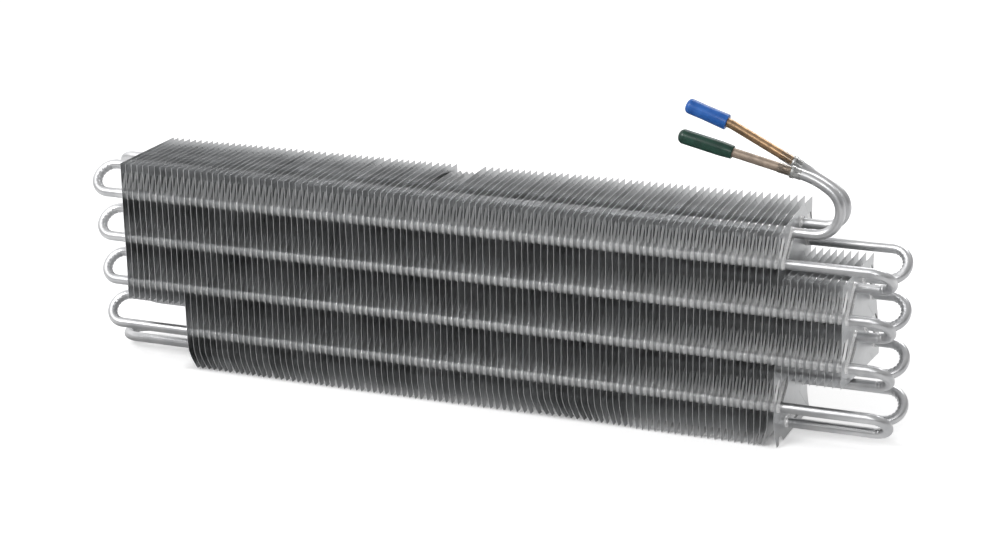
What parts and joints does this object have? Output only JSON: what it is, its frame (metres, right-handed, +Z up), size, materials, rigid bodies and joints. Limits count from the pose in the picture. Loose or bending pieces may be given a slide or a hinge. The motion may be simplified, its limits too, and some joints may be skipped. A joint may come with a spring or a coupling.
{
  "type": "evaporator coil",
  "caption": "Finned aluminium evaporator coil for a frost-free refrigerator, with a serpentine tube and two capped copper ends.",
  "frame": {"origin": "on the plane of the tall fins' feet, half way between the left and right return bends and between the front and rear tube columns", "axes": "+Z up across the rows of tubes, +X along the passes towards the connection ends, -Y towards the front face of the fins"},
  "size_m": [0.6875, 0.088, 0.2519],
  "materials": {
    "tube_aluminium": "drawn, bright",
    "fin_aluminium": "rolled strip, dull",
    "copper": "drawn copper, dulled",
    "clear_sleeve": "clear shrink sleeve",
    "blue_vinyl": "dipped vinyl",
    "green_vinyl": "dipped vinyl"
  },
  "bodies": {
    "root": {"coil_tube": "tube_aluminium", "front_cap": "green_vinyl", "front_copper_stub": "copper", "front_joint_sleeve": "clear_sleeve", "low_fin_01": "fin_aluminium", "low_fin_02": "fin_aluminium", "rear_cap": "blue_vinyl", "rear_copper_stub": "copper", "rear_joint_sleeve": "clear_sleeve", "short_fin_01": "fin_aluminium", "short_fin_02": "fin_aluminium", "short_fin_03": "fin_aluminium", "tall_fin_01": "fin_aluminium", "tall_fin_02": "fin_aluminium", "tall_fin_03": "fin_aluminium", "tall_fin_04": "fin_aluminium", "tall_fin_05": "fin_aluminium", "tall_fin_06": "fin_aluminium", "tall_fin_07": "fin_aluminium", "tall_fin_08": "fin_aluminium", "tall_fin_09": "fin_aluminium", "tall_fin_10": "fin_aluminium", "tall_fin_11": "fin_aluminium", "tall_fin_12": "fin_aluminium", "tall_fin_13": "fin_aluminium", "tall_fin_14": "fin_aluminium", "tall_fin_15": "fin_aluminium", "tall_fin_16": "fin_aluminium", "tall_fin_17": "fin_aluminium", "tall_fin_18": "fin_aluminium", "tall_fin_19": "fin_aluminium", "tall_fin_20": "fin_aluminium", "tall_fin_21": "fin_aluminium", "tall_fin_22": "fin_aluminium", "tall_fin_23": "fin_aluminium", "tall_fin_24": "fin_aluminium", "tall_fin_25": "fin_aluminium", "tall_fin_26": "fin_aluminium", "tall_fin_27": "fin_aluminium", "tall_fin_28": "fin_aluminium", "tall_fin_29": "fin_aluminium", "tall_fin_30": "fin_aluminium", "tall_fin_31": "fin_aluminium", "tall_fin_32": "fin_aluminium", "tall_fin_33": "fin_aluminium", "tall_fin_34": "fin_aluminium", "tall_fin_35": "fin_aluminium", "tall_fin_36": "fin_aluminium", "tall_fin_37": "fin_aluminium", "tall_fin_38": "fin_aluminium", "tall_fin_39": "fin_aluminium", "tall_fin_40": "fin_aluminium", "tall_fin_41": "fin_aluminium", "tall_fin_42": "fin_aluminium", "tall_fin_43": "fin_aluminium", "tall_fin_44": "fin_aluminium", "tall_fin_45": "fin_aluminium", "tall_fin_46": "fin_aluminium", "tall_fin_47": "fin_aluminium", "tall_fin_48": "fin_aluminium"}
  },
  "joints": []
}
